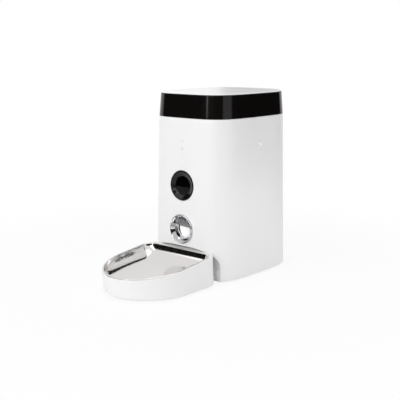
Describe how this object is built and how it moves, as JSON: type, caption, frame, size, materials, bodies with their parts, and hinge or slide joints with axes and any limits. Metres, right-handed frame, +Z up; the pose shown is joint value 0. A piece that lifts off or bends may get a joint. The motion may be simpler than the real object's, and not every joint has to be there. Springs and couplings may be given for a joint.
{
  "type": "pet feeder with camera",
  "caption": "Automatic pet feeder: tapered white tower with dark lid band, front camera, chromed food outlet and a steel bowl in a pull-off tray.",
  "frame": {"origin": "on the floor, under the middle of the whole part's bounding box, tray included", "axes": "+Z up, the front with the camera and the bowl faces -Y, +X to the right of a viewer behind the feeder's front as seen in the picture's right side"},
  "size_m": [0.1708, 0.3736, 0.3123],
  "materials": {
    "white_plastic": "smooth white moulded ABS, semi-gloss",
    "black_gloss": "piano-black moulded plastic, high gloss",
    "smoked_window": "smoked clear window, polished",
    "chrome": "chromed plastic ring, mirror finish",
    "polished_steel": "pressed stainless steel sheet, polished",
    "shaft_steel": "bright steel, ground",
    "grey_plastic": "dark grey moulded plastic, fine matt",
    "pale_plastic": "off-white moulded plastic, matt",
    "dark_plastic": "black moulded plastic, matt",
    "gear_plastic": "natural acetal, satin",
    "rubber": "black rubber, matt",
    "silicone": "grey silicone rubber, matt",
    "bronze": "sintered bronze",
    "circuit_board": "green solder mask",
    "light_pipe": "clear acrylic, polished",
    "cell_wrap": "printed plastic sleeve over a steel can",
    "motor_steel": "zinc-plated steel can"
  },
  "bodies": {
    "tower": {"body_shell": "white_plastic", "base_plate": "pale_plastic", "base_screw_1": "shaft_steel", "base_screw_2": "shaft_steel", "base_screw_3": "shaft_steel", "base_screw_4": "shaft_steel", "foot_1": "rubber", "foot_2": "rubber", "foot_3": "rubber", "foot_4": "rubber", "camera_bezel": "black_gloss", "camera_window": "smoked_window", "camera_lens": "dark_plastic", "camera_board": "circuit_board", "camera_housing": "dark_plastic", "microphone_boot": "rubber", "status_light_pipe": "light_pipe", "indicator_board": "circuit_board", "outlet_collar": "chrome", "flap_pin": "shaft_steel", "chute": "white_plastic", "metering_cup": "pale_plastic", "shaft_bush": "bronze", "motor_bracket": "pale_plastic", "gearmotor": "motor_steel", "hopper": "pale_plastic", "latch_spring_left": "shaft_steel", "latch_spring_right": "shaft_steel", "main_board": "circuit_board", "speaker": "dark_plastic", "dc_inlet": "dark_plastic", "battery_box": "dark_plastic", "battery_cell_1": "cell_wrap", "battery_cell_2": "cell_wrap", "battery_cell_3": "cell_wrap", "battery_contact_front": "shaft_steel", "battery_contact_rear": "shaft_steel"},
    "lid": {"lid_band": "black_gloss", "lid_top_panel": "white_plastic", "lid_liner": "pale_plastic", "lid_seal": "silicone", "desiccant_box": "pale_plastic", "desiccant_cover": "grey_plastic"},
    "release_right": {"release_button_right": "white_plastic", "latch_right": "grey_plastic"},
    "release_left": {"release_button_left": "white_plastic", "latch_left": "grey_plastic"},
    "rotor": {"metering_rotor": "silicone", "stirrer": "gear_plastic", "rotor_shaft": "shaft_steel", "rotor_gear": "gear_plastic"},
    "pinion": {"motor_pinion": "gear_plastic"},
    "flap": {"outlet_flap": "grey_plastic"},
    "tray": {"bowl_tray": "white_plastic", "tray_foot_left": "rubber", "tray_foot_right": "rubber"},
    "bowl": {"steel_bowl": "polished_steel"},
    "cover": {"battery_cover": "pale_plastic"}
  },
  "joints": [
    {"name": "lid_lift", "type": "slide", "parent": "tower", "child": "lid", "axis": [0, 0, 1], "range_m": [0, 0.08]},
    {"name": "button_right", "type": "slide", "parent": "tower", "child": "release_right", "axis": [-1, 0, 0], "range_m": [0, 0.0025], "stiffness_N_per_m": 600, "springref_m": -0.002, "deforming": ["latch_spring_right"]},
    {"name": "button_left", "type": "slide", "parent": "tower", "child": "release_left", "axis": [1, 0, 0], "range_m": [0, 0.0025], "stiffness_N_per_m": 600, "springref_m": -0.002, "deforming": ["latch_spring_left"]},
    {"name": "tray_pull", "type": "slide", "parent": "tower", "child": "tray", "axis": [0, -1, 0], "range_m": [0, 0.1]},
    {"name": "bowl_lift", "type": "slide", "parent": "tray", "child": "bowl", "axis": [0, 0, 1], "range_m": [0, 0.09]},
    {"name": "flap_swing", "type": "hinge", "parent": "tower", "child": "flap", "pos_m": [0, -0.02404, 0.0994], "axis": [-1, 0, 0], "range_deg": [0, 60]},
    {"name": "rotor_spin", "type": "hinge", "parent": "tower", "child": "rotor", "pos_m": [0, 0.06552, 0.15], "axis": [0, 0, 1], "continuous": true},
    {"name": "pinion_spin", "type": "hinge", "parent": "tower", "child": "pinion", "pos_m": [0, 0.09177, 0.113], "axis": [0, 0, 1], "continuous": true},
    {"name": "battery_cover_drop", "type": "slide", "parent": "tower", "child": "cover", "axis": [0, 0, -1], "range_m": [0, 0.025]}
  ],
  "couplings": [
    {"joint": "pinion_spin", "follows": "rotor_spin", "ratio": -2.5}
  ]
}
